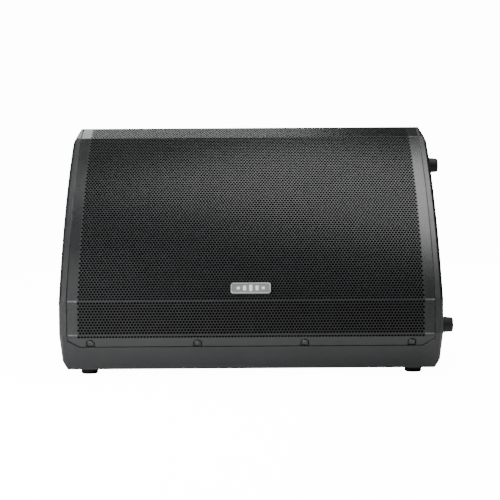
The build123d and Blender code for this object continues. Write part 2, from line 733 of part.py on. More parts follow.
woofer_top_plate = ring(WOOFER, COIL_R + 2.0, 70.0, PLATE_LOW, PLATE_TOP)
save(woofer_top_plate, "woofer_top_plate")
woofer_magnet = ring(WOOFER, 46.0, 78.0, MAGNET_LOW, PLATE_LOW)
save(woofer_magnet, "woofer_magnet")
with BuildPart() as woofer_back_plate:
    add(ring(WOOFER, 0, 70.0, BACK_LOW, MAGNET_LOW).part)
    add(ring(WOOFER, 0, COIL_R - 0.8, MAGNET_LOW, PLATE_TOP).part)
    drill(WOOFER.offset(PLATE_TOP), [(0, 0)], 12.0, 60)
save(woofer_back_plate, "woofer_back_plate")

# --------------------------------------------------------------------------------------
# Horn and compression driver
# --------------------------------------------------------------------------------------
THROAT_R, THROAT_Z = 12.7, -92.0
FLARE = ((4.0, 184.0, 160.0, 20.0), (-28.0, 112.0, 98.0, 20.0), (-62.0, 52.0, 46.0, 18.0))


def flare(grow):
    with BuildPart() as body:
        for z, wide, high, corner in FLARE:
            with BuildSketch(HORN.offset(z)):
                RectangleRounded(wide + 2 * grow, high + 2 * grow, corner + grow)
        with BuildSketch(HORN.offset(THROAT_Z)):
            side = 2 * (THROAT_R + grow)
            RectangleRounded(side, side, side / 2 - 0.3)
        loft(ruled=True)
    return body.part


with BuildPart() as horn:
    add(flare(2.6))
    with BuildSketch(HORN):
        RectangleRounded(*HORN_FLANGE, 18)
    extrude(amount=4)
    with BuildSketch(HORN.offset(THROAT_Z)):
        Circle(36)
    extrude(amount=6)
    add(flare(0), mode=Mode.SUBTRACT)
    drill(HORN.offset(4), HORN_SPOTS, 2.3, 6)
save(horn, "horn")
with BuildPart() as driver_screws:
    add(screw(WOOFER.offset(FLANGE_TOP), WOOFER_SPOTS, 4.2, 2.5, 1.9, 17).part)
    add(screw(HORN.offset(4), HORN_SPOTS, 4.2, 2.5, 1.9, 17).part)
save(driver_screws, "driver_screws")

DRIVER = HORN.offset(THROAT_Z)
hf_yoke = turned(
    DRIVER, (13.0, 0), (36, 0), (44, -5), (44, -8), (21.0, -8), (21.0, -26), (17.5, -26), (13.0, -8)
)
save(hf_yoke, "hf_yoke")
hf_magnet = ring(DRIVER, 30.0, 45.0, -22.0, -8.0)
save(hf_magnet, "hf_magnet")
hf_top_plate = ring(DRIVER, 24.4, 44.0, -28.0, -22.0)
save(hf_top_plate, "hf_top_plate")
with BuildPart() as hf_diaphragm:
    add(ring(DRIVER, 22.4, 23.2, -31.0, -23.0).part)
    add(dome(DRIVER, -36.4, -6.0, 23.2, 0.4))
save(hf_diaphragm, "hf_diaphragm")
hf_back_cover = turned(
    DRIVER, (34, -28), (42, -28), (42, -43), (38, -46), (0, -46), (0, -42.5), (34, -42.5)
)
save(hf_back_cover, "hf_back_cover")

# --------------------------------------------------------------------------------------
# Port tubes and lining
# --------------------------------------------------------------------------------------
with BuildPart() as port_tubes:
    extrude(discs(PORT, PORT_SPOTS, 36), amount=3)
    extrude(discs(PORT, PORT_SPOTS, 30), amount=-112)
    drill(PORT.offset(3), PORT_SPOTS, 27.5, 120)
    chamfer(port_tubes.edges().filter_by(GeomType.CIRCLE).group_by(axis_of(PORT))[-1], 2.0)
save(port_tubes, "port_tubes")

LINING_T = 14.0
with BuildPart() as acoustic_lining:
    with BuildSketch(Plane.XY.offset(BASE + WALL)):
        with Locations((MID, 0)):
            Rectangle(500, 230)
    extrude(amount=LINING_T)
    with BuildSketch(REAR.offset(-WALL)):
        with Locations((-206, 0), (206, 0)):
            Rectangle(86, 170)
    extrude(amount=-LINING_T)
save(acoustic_lining, "acoustic_lining")

# --------------------------------------------------------------------------------------
# Amplifier. Places on its panel are seen from behind the cabinet.
# --------------------------------------------------------------------------------------
INPUT, LINK = (8.0, 52.0), (8.0, 8.0)
KNOBS = {"level_knob": (52.0, 52.0), "bass_knob": (84.0, 52.0), "treble_knob": (116.0, 52.0)}
BUTTONS = {"voicing_button": (52.0, 8.0), "mic_level_button": (84.0, 8.0)}
LAMPS = [(108.0, 8.0), (116.0, 8.0), (124.0, 8.0)]
MAINS, SWITCH = (30.0, -50.0), (96.0, -50.0)
SINK_X, SINK_W, SINK_H = -82.0, 104.0, 160.0
XLR_R = 9.7
PINS = ((-3.3, 1.5), (3.3, 1.5), (0.0, -3.3))  # about a socket's centre
LATCH = (INPUT[0], INPUT[1] + 14.0)

with BuildPart() as amp_panel:
    with BuildSketch(PANEL):
        RectangleRounded(AMP_W, AMP_H, 6)
    extrude(amount=-PANEL_T)
    drill(PANEL, PANEL_SPOTS, 2.0, PANEL_T)
    drill(PANEL, [INPUT, LINK], 12.2, PANEL_T)
    drill(PANEL, KNOBS.values(), 3.8, PANEL_T)
    drill(PANEL, BUTTONS.values(), 4.2, PANEL_T)
    drill(PANEL, LAMPS, 1.7, PANEL_T)
    with BuildSketch(PANEL):
        with Locations(LATCH):
            Rectangle(7.6, 6.0)
        with Locations(MAINS):
            Rectangle(28.4, 20.4)
        with Locations(SWITCH):
            Rectangle(28.4, 22.4)
    extrude(amount=-PANEL_T, mode=Mode.SUBTRACT)
save(amp_panel, "amp_panel")
amp_panel_screws = screw(PANEL, PANEL_SPOTS, 3.0, 1.8, 1.6, 13)
save(amp_panel_screws, "amp_panel_screws")

with BuildPart() as heat_sink:
    with BuildSketch(PANEL):
        with Locations((SINK_X, 0)):
            Rectangle(SINK_W, SINK_H)
    extrude(amount=4)
    with BuildSketch(PANEL.offset(4)):
        with Locations((SINK_X, 0)):
            with GridLocations(8.4, 1, 13, 1):
                Rectangle(2.4, SINK_H)
    extrude(amount=16)
save(heat_sink, "heat_sink")


def socket(spot, cavity):
    """A round connector shell: square flange on the panel and a body with a cavity."""
    with BuildPart() as shell:
        with BuildSketch(PANEL):
            with Locations(spot):
                RectangleRounded(27, 36, 3)
        extrude(amount=2)
        extrude(discs(PANEL, [spot], 12), amount=-24)
        drill(PANEL.offset(2), [spot], XLR_R, cavity)
    return shell


with BuildPart() as input_socket:
    add(socket(INPUT, 20).part)
    with BuildSketch(PANEL.offset(2)):
        with Locations(LATCH):
            Rectangle(7.0, 4.8)
    extrude(amount=-5, mode=Mode.SUBTRACT)
save(input_socket, "input_socket")

with BuildPart() as input_insert:  # the core that takes the three pins of a plug
    extrude(discs(PANEL.offset(-18), [INPUT], 6.6), amount=16)
    drill(PANEL.offset(-2), [(INPUT[0] + x, INPUT[1] + y) for x, y in PINS], 1.3, 14)
save(input_insert, "input_insert")

with BuildPart() as input_latch:
    with BuildSketch(PANEL.offset(0.3)):
        with Locations(LATCH):
            RectangleRounded(6.2, 4.0, 0.8)
    extrude(amount=5.2)
save(input_latch, "input_latch")

link_socket = socket(LINK, 18)
save(link_socket, "link_socket")

with BuildPart() as mains_inlet:
    with BuildSketch(PANEL):
        with Locations(MAINS):
            RectangleRounded(50, 28, 4)
            with Locations((-20, 0), (20, 0)):
                Circle(1.7, mode=Mode.SUBTRACT)
    extrude(amount=3)
    with BuildSketch(PANEL):
        with Locations(MAINS):
            Rectangle(28, 20)
    extrude(amount=-24)
    with BuildSketch(PANEL.offset(3)):
        with Locations(MAINS):
            RectangleRounded(24, 16, 2.5)
    extrude(amount=-20, mode=Mode.SUBTRACT)
save(mains_inlet, "mains_inlet")

with BuildPart() as connector_pins:
    extrude(discs(PANEL.offset(-16), [(LINK[0] + x, LINK[1] + y) for x, y in PINS], 1.2), amount=13)
    with BuildSketch(PANEL.offset(-17)):
        with Locations(*[(MAINS[0] + x, MAINS[1] + y) for x, y in ((-7, -2), (7, -2), (0, 2))]):
            Rectangle(2, 5)
    extrude(amount=14)
save(connector_pins, "connector_pins")

PIVOT_Z = 1.0
with BuildPart() as power_switch_frame:
    with BuildSketch(PANEL):
        with Locations(SWITCH):
            RectangleRounded(32, 26, 2)
    extrude(amount=2)
    with BuildSketch(PANEL):
        with Locations(SWITCH):
            Rectangle(28, 22)
    extrude(amount=-20)
    with BuildSketch(PANEL.offset(2)):
        with Locations(SWITCH):
            Rectangle(25, 19)
    extrude(amount=-14, mode=Mode.SUBTRACT)
save(power_switch_frame, "power_switch_frame")

ROCKER_TIP = 8.0  # it rests tipped to its off side
ROCKER_OUTLINE = (  # (out of the panel, across it)
    (4.0, 11.5),
    (2.4, 0),
    (4.0, -11.5),
    (-1.5, -11.0),
    (-6.0, -4),
    (-6.0, 4),
    (-1.5, 11.0),
)
ROCKER = on(PANEL, *SWITCH, PIVOT_Z)
with BuildPart() as power_rocker:
    tip = radians(ROCKER_TIP)
    face = ROCKER.z_dir * cos(tip) + ROCKER.x_dir * sin(tip)
    with BuildSketch(Plane(origin=ROCKER.origin, x_dir=face, z_dir=-ROCKER.y_dir)):
        with BuildLine():
            Polyline(*ROCKER_OUTLINE, close=True)
        make_face()
    extrude(amount=9.0, both=True)
    with BuildSketch(Plane(origin=ROCKER.origin, x_dir=face, z_dir=-ROCKER.y_dir)):
        Circle(1.4)
    extrude(amount=9.4, both=True)
save(power_rocker, "power_rocker")

for name, spot in KNOBS.items():
    with BuildPart() as knob:
        with BuildSketch(on(PANEL, *spot, 1.0)):
            Circle(9)
        extrude(amount=13, taper=4)
        fillet(knob.edges().filter_by(GeomType.CIRCLE).group_by(axis_of(PANEL))[-1], 1.2)
        with BuildSketch(on(PANEL, *spot, 14.0)):
            with Locations((0, 4.6)):
                Rectangle(1.4, 9)
        extrude(amount=-0.8, mode=Mode.SUBTRACT)
        with BuildSketch(on(PANEL, *spot, 1.0)):
            Circle(3)
        extrude(amount=-11)
    save(knob, name)

with BuildPart() as potentiometers:
    spots = list(KNOBS.values())
    extrude(discs(PANEL.offset(-PANEL_T), spots, 8), amount=-9)
    drill(PANEL.offset(-PANEL_T), spots, 3.5, 8)
save(potentiometers, "potentiometers")

for name, spot in BUTTONS.items():
    with BuildPart() as cap:
        with BuildSketch(on(PANEL, *spot, -8.0)):
            Circle(3.7)
        extrude(amount=12)
        fillet(cap.edges().filter_by(GeomType.CIRCLE).group_by(axis_of(PANEL))[-1], 0.8)
    save(cap, name)

with BuildPart() as button_switches:
    spots = list(BUTTONS.values())
    with BuildSketch(PANEL.offset(-PANEL_T)):
        with Locations(*spots):
            Rectangle(12, 12)
    extrude(amount=-12)
    drill(PANEL.offset(-PANEL_T), spots, 4.1, 9)
save(button_switches, "button_switches")

with BuildPart() as indicator_lamps:
    extrude(discs(PANEL.offset(-PANEL_T - 4), LAMPS, 1.5), amount=PANEL_T + 5)
    fillet(indicator_lamps.edges().filter_by(GeomType.CIRCLE).group_by(axis_of(PANEL))[-1], 1.0)
save(indicator_lamps, "indicator_lamps")

BOARD_Z = -PANEL_T - 26.0
SPACERS = [(x, y) for x in (-120, 120) for y in (-74, 74)]
with BuildPart() as amp_board:
    with BuildSketch(PANEL.offset(BOARD_Z)):
        RectangleRounded(256, 160, 3)
    extrude(amount=-1.6)
    drill(PANEL.offset(BOARD_Z), SPACERS, 1.6, 2)
save(amp_board, "amp_board")
with BuildPart() as board_spacers:
    extrude(discs(PANEL.offset(-PANEL_T), SPACERS, 3.2), amount=BOARD_Z + PANEL_T)
    extrude(discs(PANEL.offset(BOARD_Z), SPACERS, 1.5), amount=-1.6)
    extrude(discs(PANEL.offset(BOARD_Z - 1.6), SPACERS, 2.8), amount=-2)
save(board_spacers, "board_spacers")
with BuildPart() as transformer:
    with BuildSketch(PANEL.offset(BOARD_Z - 1.6)):
        with Locations((74, -34)):
            RectangleRounded(62, 54, 4)
    extrude(amount=-40)
    with BuildSketch(PANEL.offset(BOARD_Z - 8)):
        with Locations((74, -34)):
            RectangleRounded(74, 40, 6)
    extrude(amount=-26)
save(transformer, "transformer")
with BuildPart() as capacitors:
    places = [(74 + x, 44 + y) for x in (-14, 14) for y in (-14, 14)]
    extrude(discs(PANEL.offset(BOARD_Z - 1.6), places, 11), amount=-34)
    fillet(capacitors.edges().filter_by(GeomType.CIRCLE).group_by(axis_of(PANEL))[0], 1.5)
save(capacitors, "capacitors")


# --------------------------------------------------------------------------------------
# Leads inside the cabinet
# --------------------------------------------------------------------------------------
def lead(points, radius, bend):
    with BuildPart() as cord:
        with BuildLine() as path:
            FilletPolyline(*points, radius=bend)
        with BuildSketch(Plane(origin=path.line @ 0, z_dir=path.line % 0)):
            Circle(radius)
        sweep()
    return cord


def spot_on(plane, x, y, z):
    return plane.from_local_coords((x, y, z))


LEAD_R = 2.0
woofer_lead = lead(
    [
        spot_on(PANEL, -60, 20, BOARD_Z - 1.6),
        spot_on(PANEL, -60, 20, BOARD_Z - 14),
        spot_on(PANEL, -60, 74, BOARD_Z - 14),
        spot_on(WOOFER, 0, 92, -110),
        spot_on(WOOFER, 0, 92, -79),
        spot_on(WOOFER, 0, 73, -79),
    ],
    LEAD_R,
    6,
)
hf_lead = lead(
    [
        spot_on(PANEL, 112, 44, BOARD_Z - 1.6),
        spot_on(PANEL, 112, 44, BOARD_Z - 20),
        spot_on(DRIVER, 0, 0, -90),
        spot_on(DRIVER, 0, 0, -46),
    ],
    LEAD_R,
    6,
)
with BuildPart() as speaker_leads:
    add(woofer_lead.part)
    add(hf_lead.part)
save(speaker_leads, "speaker_leads")

# --------------------------------------------------------------------------------------
# Pole cup in the right end
# --------------------------------------------------------------------------------------
POLE_R, POLE_DEEP = 17.9, 80.0
with BuildPart() as pole_cup:
    with BuildSketch(POLE):
        RectangleRounded(POLE_FLANGE, POLE_FLANGE, 8)
    extrude(amount=-FLUSH)
    extrude(discs(POLE, [(0, 0)], 21.5), amount=-(POLE_DEEP + 3))
    drill(POLE, [(0, 0)], POLE_R, POLE_DEEP)
    chamfer(pole_cup.edges().filter_by(GeomType.CIRCLE).group_by(axis_of(POLE))[-1], 1.5)
    drill(POLE, POLE_SPOTS, 2.1, 8)
    drill(POLE, POLE_SPOTS, 4.2, 1.4)
save(pole_cup, "pole_cup")

# --------------------------------------------------------------------------------------
# Recessed handle in the left end: a bowl bridged by a grip
# --------------------------------------------------------------------------------------
BOWL_DEEP = 46.0
GRIP_UP, GRIP_IN, GRIP_R = 17.0, 11.0, 9.5
grip_end = HANDLE.from_local_coords((-HANDLE_BOWL[0] / 2, GRIP_UP, -GRIP_IN))
with BuildPart() as handle_bowl:
    with BuildSketch(HANDLE):
        RectangleRounded(*HANDLE_SIZE, 12)
    extrude(amount=-FLUSH)
    with BuildSketch(HANDLE):
        RectangleRounded(HANDLE_BOWL[0] + 6, HANDLE_BOWL[1] + 6, 9)
    extrude(amount=-(BOWL_DEEP + 3))
    with BuildSketch(HANDLE):
        RectangleRounded(*HANDLE_BOWL, 6)
    extrude(amount=-BOWL_DEEP, mode=Mode.SUBTRACT)
    drill(HANDLE, HANDLE_SPOTS, 2.1, 8)
    drill(HANDLE, HANDLE_SPOTS, 4.2, 1.4)
save(handle_bowl, "handle_bowl")

with BuildPart() as handle_grip:
    with BuildSketch(Plane(origin=grip_end, z_dir=HANDLE.x_dir)):
        Circle(GRIP_R)
    extrude(amount=HANDLE_BOWL[0])
save(handle_grip, "handle_grip")

with BuildPart() as end_fitting_screws:
    add(screw(HANDLE.offset(-1.4), HANDLE_SPOTS, 3.8, 1.2, 1.8, 12).part)
    add(screw(POLE.offset(-1.4), POLE_SPOTS, 3.8, 1.2, 1.8, 12).part)
save(end_fitting_screws, "end_fitting_screws")
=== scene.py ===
import json
import math

import bmesh
import bpy
from mathutils import Matrix, Vector


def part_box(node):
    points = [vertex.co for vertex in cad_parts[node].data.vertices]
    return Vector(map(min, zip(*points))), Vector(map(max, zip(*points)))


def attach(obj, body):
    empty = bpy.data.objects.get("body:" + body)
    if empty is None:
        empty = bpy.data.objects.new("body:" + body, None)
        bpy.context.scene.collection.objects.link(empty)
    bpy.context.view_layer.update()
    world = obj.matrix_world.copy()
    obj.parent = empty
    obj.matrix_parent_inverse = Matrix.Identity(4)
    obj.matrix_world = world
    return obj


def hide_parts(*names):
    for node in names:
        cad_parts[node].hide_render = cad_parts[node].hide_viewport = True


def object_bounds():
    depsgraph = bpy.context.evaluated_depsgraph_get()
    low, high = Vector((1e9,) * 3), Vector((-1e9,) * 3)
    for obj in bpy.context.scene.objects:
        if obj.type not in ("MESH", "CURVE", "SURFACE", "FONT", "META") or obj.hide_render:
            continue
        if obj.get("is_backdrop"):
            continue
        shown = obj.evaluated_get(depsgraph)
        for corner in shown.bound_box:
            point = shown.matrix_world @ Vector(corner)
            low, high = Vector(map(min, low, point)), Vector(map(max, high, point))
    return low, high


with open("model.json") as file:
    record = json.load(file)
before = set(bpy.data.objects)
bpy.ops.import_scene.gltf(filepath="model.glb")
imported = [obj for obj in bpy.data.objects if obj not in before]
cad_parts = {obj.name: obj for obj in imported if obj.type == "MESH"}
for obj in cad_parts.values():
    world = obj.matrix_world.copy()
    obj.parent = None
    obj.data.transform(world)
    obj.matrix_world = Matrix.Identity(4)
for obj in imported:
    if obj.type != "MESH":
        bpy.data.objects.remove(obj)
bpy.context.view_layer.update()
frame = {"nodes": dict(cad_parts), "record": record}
MM = 0.001

# ------------------------------------------------------------------ materials
WEAR_AND_HIGHLIGHT_RADIUS = 0.0009  # how far from an edge its rubbing and painted highlight show
DUST = (0.28, 0.27, 0.25)


def shader(
    name,
    colour,
    rough=0.5,
    metal=0.0,
    tint=0.2,
    mottle=18.0,
    grain=(1400.0, 0.25, 0.00012),
    fine=(5200.0, 0.12, 0.00004),
    rough_spread=0.1,
    edge=None,
    dust=0.0,
    coat=0.0,
    emit=None,
    specular=0.5,
    soften=0.0,
):
    """A procedural finish: colour drifts over large patches, two sizes of grain lift the surface,
    edges may take a lighter colour that is partly rubbed wear and partly a painted highlight, edges
    may also be softened, and dust can settle on what faces up."""
    m = bpy.data.materials.new(name)
    m.use_nodes = True
    n, l = m.node_tree.nodes, m.node_tree.links
    b = n["Principled BSDF"]
    b.inputs["Metallic"].default_value = metal
    b.inputs["Coat Weight"].default_value = coat
    b.inputs["Coat Roughness"].default_value = 0.15
    b.inputs["Specular IOR Level"].default_value = specular
    co = n.new("ShaderNodeTexCoord").outputs["Object"]

    def noise(scale, detail=3.0, rough_=0.55):
        t = n.new("ShaderNodeTexNoise")
        t.inputs["Scale"].default_value = scale
        t.inputs["Detail"].default_value = detail
        t.inputs["Roughness"].default_value = rough_
        l.new(co, t.inputs["Vector"])
        return t.outputs["Fac"]

    def mix(fac, a, c):
        x = n.new("ShaderNodeMix")
        x.data_type = "RGBA"
        for sock, v in ((x.inputs[0], fac), (x.inputs[6], a), (x.inputs[7], c)):
            if isinstance(v, (int, float)):
                sock.default_value = v
            elif isinstance(v, (tuple, list)):
                sock.default_value = (*v[:3], 1)
            else:
                l.new(v, sock)
        return x.outputs[2]

    def span(value, lo, hi, to_lo, to_hi):
        r = n.new("ShaderNodeMapRange")
        r.inputs["From Min"].default_value = lo
        r.inputs["From Max"].default_value = hi
        r.inputs["To Min"].default_value = to_lo
        r.inputs["To Max"].default_value = to_hi
        l.new(value, r.inputs["Value"])
        return r.outputs["Result"]

    patches = noise(mottle, 4.0)
    low = [c * (1 - tint) for c in colour]
    high = [min(1, c * (1 + tint)) for c in colour]
    col = mix(span(patches, 0.3, 0.7, 0, 1), low, high)
    speck = span(noise(grain[0] * 0.7, 1.0), 0.62, 0.72, 0, 0.35)
    col = mix(speck, col, [min(1, c * 1.6 + 0.001) for c in colour])
    # edges are lightened: partly rubbed wear, partly a painted highlight along each edge
    if edge:
        geo = n.new("ShaderNodeNewGeometry")
        corner = n.new("ShaderNodeBevel")
        corner.samples = 4
        corner.inputs["Radius"].default_value = WEAR_AND_HIGHLIGHT_RADIUS
        turned = n.new("ShaderNodeVectorMath")
        turned.operation = "DOT_PRODUCT"
        l.new(geo.outputs["Normal"], turned.inputs[0])
        l.new(corner.outputs["Normal"], turned.inputs[1])
        wear_and_highlight = span(turned.outputs["Value"], 0.995, 0.9, 0, 1)
        ragged = n.new("ShaderNodeMath")
        ragged.operation = "MULTIPLY"
        l.new(wear_and_highlight, ragged.inputs[0])
        strength = edge[3] if len(edge) > 3 else 0.7
        l.new(span(noise(140.0, 5.0), 0.42, 0.6, 0, strength), ragged.inputs[1])
        col = mix(ragged.outputs[0], col, edge[:3])
    if dust:
        geo = n.new("ShaderNodeNewGeometry")
        sep = n.new("ShaderNodeSeparateXYZ")
        l.new(geo.outputs["Normal"], sep.inputs[0])
        settle = n.new("ShaderNodeMath")
        settle.operation = "MULTIPLY"
        l.new(span(sep.outputs["Z"], 0.6, 1.0, 0, dust), settle.inputs[0])
        l.new(span(noise(60.0, 6.0, 0.7), 0.4, 0.7, 0, 1), settle.inputs[1])
        col = mix(settle.outputs[0], col, DUST)
    l.new(col, b.inputs["Base Color"])
    smooth, dull = rough - rough_spread, rough + rough_spread
    smear = span(noise(mottle * 2.3, 5.0, 0.65), 0.3, 0.7, smooth, dull)
    l.new(smear, b.inputs["Roughness"])
    last = None
    if soften:
        rounding = n.new("ShaderNodeBevel")
        rounding.samples = 4
        rounding.inputs["Radius"].default_value = soften
        last = rounding.outputs["Normal"]
    for scale, strength, height in (grain, fine):
        if not strength:
            continue
        bump = n.new("ShaderNodeBump")
        bump.inputs["Strength"].default_value = strength
        bump.inputs["Distance"].default_value = height
        l.new(noise(scale, 2.0), bump.inputs["Height"])
        if last:
            l.new(last, bump.inputs["Normal"])
        last = bump.outputs["Normal"]
    if last:
        l.new(last, b.inputs["Normal"])
    if emit:
        b.inputs["Emission Color"].default_value = (*emit[:3], 1)
        b.inputs["Emission Strength"].default_value = emit[3]
    return m


def striped(m, axis, scale, strength, height):
    """Adds fine parallel tool marks across a material, along one axis."""
    n, l = m.node_tree.nodes, m.node_tree.links
    b = n["Principled BSDF"]
    co = n.new("ShaderNodeTexCoord")
    put = n.new("ShaderNodeMapping")
    size = [scale] * 3
    size["XYZ".index(axis)] = scale / 40
    put.inputs["Scale"].default_value = size
    l.new(co.outputs["Object"], put.inputs["Vector"])
    t = n.new("ShaderNodeTexNoise")
    t.inputs["Scale"].default_value = 1.0
    t.inputs["Detail"].default_value = 2.0
    l.new(put.outputs["Vector"], t.inputs["Vector"])
    bump = n.new("ShaderNodeBump")
    bump.inputs["Strength"].default_value = strength
    bump.inputs["Distance"].default_value = height
    l.new(t.outputs["Fac"], bump.inputs["Height"])
    was = b.inputs["Normal"].links[0].from_socket
    l.new(was, bump.inputs["Normal"])
    l.new(bump.outputs["Normal"], b.inputs["Normal"])
    return m


FINISH = {
    "moulded_plastic": shader(
        "moulded_plastic", (0.016, 0.017, 0.018), 0.34, tint=0.14, grain=(1100, 0.5, 0.00022),
        fine=(3800, 0.25, 0.00006), rough_spread=0.03, edge=(0.06, 0.06, 0.06, 0.5), dust=0.03,
        soften=0.0012,
    ),
    "seal_rubber": shader("seal_rubber", (0.012, 0.012, 0.012), 0.75),
    "grille_steel": shader(
        "grille_steel", (0.011, 0.012, 0.012), 0.28, tint=0.06, grain=(2600, 0.3, 0.00005),
        rough_spread=0.02, edge=(0.05, 0.05, 0.05, 0.4), dust=0.01,
    ),
    "foam": shader(
        "foam", (0.002, 0.002, 0.002), 1.0, grain=(900, 1.0, 0.0006), fine=(2400, 0.7, 0.0003),
        rough_spread=0.0, specular=0.0,
    ),
    "badge_metal": striped(
        shader(
            "badge_metal", (0.50, 0.51, 0.52), 0.3, metal=1.0, tint=0.08,
            grain=(900, 0.08, 0.00003),
        ),
        "X", 9000, 0.25, 0.00004,
    ),
    "foot_rubber": shader(
        "foot_rubber", (0.011, 0.011, 0.012), 0.72, grain=(1600, 0.6, 0.0002),
        edge=(0.07, 0.065, 0.06, 0.6), dust=0.1,
    ),
    "cast_basket": shader(
        "cast_basket", (0.03, 0.03, 0.03), 0.55, metal=0.2, grain=(1500, 0.5, 0.0002),
    ),
    "surround_cloth": shader(
        "surround_cloth", (0.015, 0.015, 0.015), 0.7, grain=(2500, 0.6, 0.0002),
    ),
    "cone_paper": shader(
        "cone_paper", (0.02, 0.02, 0.021), 0.8, tint=0.3, grain=(700, 0.7, 0.0003),
    ),
    "coil_wire": striped(
        shader("coil_wire", (0.7, 0.32, 0.14), 0.35, metal=1.0), "X", 6000, 0.4, 0.0001,
    ),
    "spider_cloth": shader("spider_cloth", (0.42, 0.24, 0.07), 0.8, grain=(2000, 0.8, 0.0003)),
    "plate_steel": shader(
        "plate_steel", (0.52, 0.53, 0.54), 0.38, metal=1.0, edge=(0.75, 0.75, 0.75),
    ),
    "ferrite": shader("ferrite", (0.045, 0.045, 0.05), 0.5, grain=(1800, 0.5, 0.0002)),
    "horn_plastic": shader(
        "horn_plastic", (0.018, 0.018, 0.019), 0.5, edge=(0.05, 0.05, 0.05, 0.4),
    ),
    "diaphragm_metal": shader("diaphragm_metal", (0.6, 0.6, 0.62), 0.3, metal=1.0),
    "cover_plastic": shader("cover_plastic", (0.03, 0.03, 0.03), 0.5),
    "lining": shader(
        "lining", (0.32, 0.31, 0.29), 0.95, tint=0.3, grain=(500, 1.0, 0.001),
        fine=(1500, 0.8, 0.0004),
    ),
    "panel_paint": shader(
        "panel_paint", (0.026, 0.027, 0.03), 0.5, grain=(2200, 0.7, 0.00012),
        edge=(0.3, 0.3, 0.3, 0.5), dust=0.05,
    ),
    "sink_aluminium": striped(
        shader(
            "sink_aluminium", (0.03, 0.03, 0.033), 0.42, metal=0.6,
            edge=(0.16, 0.16, 0.17, 0.6), dust=0.08,
        ),
        "Z", 5200, 0.35, 0.00006,
    ),
    "connector_plastic": shader(
        "connector_plastic", (0.017, 0.017, 0.018), 0.42, edge=(0.07, 0.07, 0.07, 0.5),
    ),
    "latch_metal": shader("latch_metal", (0.6, 0.6, 0.61), 0.3, metal=1.0),
    "pin_brass": shader("pin_brass", (0.8, 0.65, 0.35), 0.25, metal=1.0),
    "rocker_plastic": shader(
        "rocker_plastic", (0.015, 0.015, 0.016), 0.25, coat=0.3, grain=(1500, 0.1, 0.00005),
    ),
    "knob_plastic": shader(
        "knob_plastic", (0.022, 0.022, 0.023), 0.6, edge=(0.09, 0.09, 0.09, 0.5), dust=0.05,
    ),
    "button_plastic": shader("button_plastic", (0.16, 0.16, 0.17), 0.5, edge=(0.3, 0.3, 0.3, 0.5)),
    "lamp_lens": shader(
        "lamp_lens", (0.1, 0.55, 0.2), 0.15, emit=(0.1, 0.9, 0.25, 0.6), grain=(900, 0.05, 0.00002),
    ),
    "board": shader("board", (0.01, 0.09, 0.04), 0.35, coat=0.4, grain=(500, 0.3, 0.0002)),
    "can_plastic": shader("can_plastic", (0.02, 0.02, 0.05), 0.25, coat=0.4),
    "core_steel": shader(
        "core_steel", (0.12, 0.09, 0.05), 0.5, metal=0.4, grain=(700, 0.5, 0.0003),
    ),
    "spacer_brass": shader("spacer_brass", (0.75, 0.6, 0.3), 0.3, metal=1.0),
    "lead_sheath": shader("lead_sheath", (0.2, 0.01, 0.01), 0.45),
    "cup_plastic": shader(
        "cup_plastic", (0.018, 0.018, 0.019), 0.48, grain=(1500, 0.4, 0.00015),
        edge=(0.06, 0.06, 0.06, 0.5), dust=0.05,
    ),
    "black_screw": shader(
        "black_screw", (0.07, 0.07, 0.072), 0.3, metal=0.85, edge=(0.3, 0.3, 0.3, 0.8),
    ),
}
PRINT = shader("printed_ink", (0.55, 0.56, 0.57), 0.6, tint=0.1, grain=(3000, 0.2, 0.00003))
RIM = shader("badge_rim", (0.30, 0.31, 0.31), 0.34, metal=0.2, tint=0.05, grain=(700, 0.1, 0.00003))
FIELD_PAINT = shader(
    "badge_field", (0.15, 0.155, 0.155), 0.5, metal=0.1, tint=0.08, grain=(1500, 0.3, 0.00005),
)
BARS = shader(
    "badge_bars", (0.66, 0.67, 0.68), 0.3, metal=0.1, tint=0.04, grain=(900, 0.1, 0.00003),
)
WEB = shader(
    "grille_web", (0.024, 0.025, 0.026), 0.3, tint=0.06, grain=(2600, 0.3, 0.00005),
    rough_spread=0.02, specular=0.26, edge=(0.05, 0.05, 0.05, 0.4), dust=0.01,
)
FLANGE_STEEL = shader(
    "grille_flange_steel", (0.020, 0.021, 0.021), 0.34, tint=0.06, grain=(2600, 0.3, 0.00005),
    rough_spread=0.02, edge=(0.05, 0.05, 0.05, 0.4),
)
# near-black walls in the holes and round the screw dishes: painted shade where the sheet's own
# paint lies in shadow
HOLE_PAINTED_SHADE = shader("grille_hole_painted_shade", (0.004, 0.004, 0.004), 0.8, specular=0.1)
# a lighter colour on the plain margins beside each fold: a painted highlight along the grille's
# folds
FOLD_PAINTED_HIGHLIGHT = shader(
    "grille_fold_painted_highlight", (0.085, 0.087, 0.09), 0.36, tint=0.3, mottle=160.0,
    grain=(2600, 0.3, 0.00005),
)

for part in frame["record"]["subparts"]:
    mesh = frame["nodes"][part["node"]].data
    mesh.materials.clear()
    mesh.materials.append(FINISH[part["material_slot"]])

# ------------------------------------------------------------------ helpers


def solid(name, verts, faces, materials, body="cabinet", kinds=None):
    """A mesh object on a body; kinds gives each face's place in the list of materials."""
    me = bpy.data.meshes.new(name)
    me.from_pydata([tuple(v) for v in verts], [], faces)
    for m in materials:
        me.materials.append(m)
    if kinds:
        me.polygons.foreach_set("material_index", kinds)
    me.validate()
    me.update()
    o = bpy.data.objects.new(name, me)
    bpy.context.scene.collection.objects.link(o)
    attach(o, body)
    return o


def axes(origin, x, z):
    """A matrix whose local x and z run along the given directions."""
    z = Vector(z).normalized()
    x = Vector(x).normalized()
    y = z.cross(x)
    m = Matrix((x, y, z)).transposed().to_4x4()
    m.translation = Vector(origin)
    return m


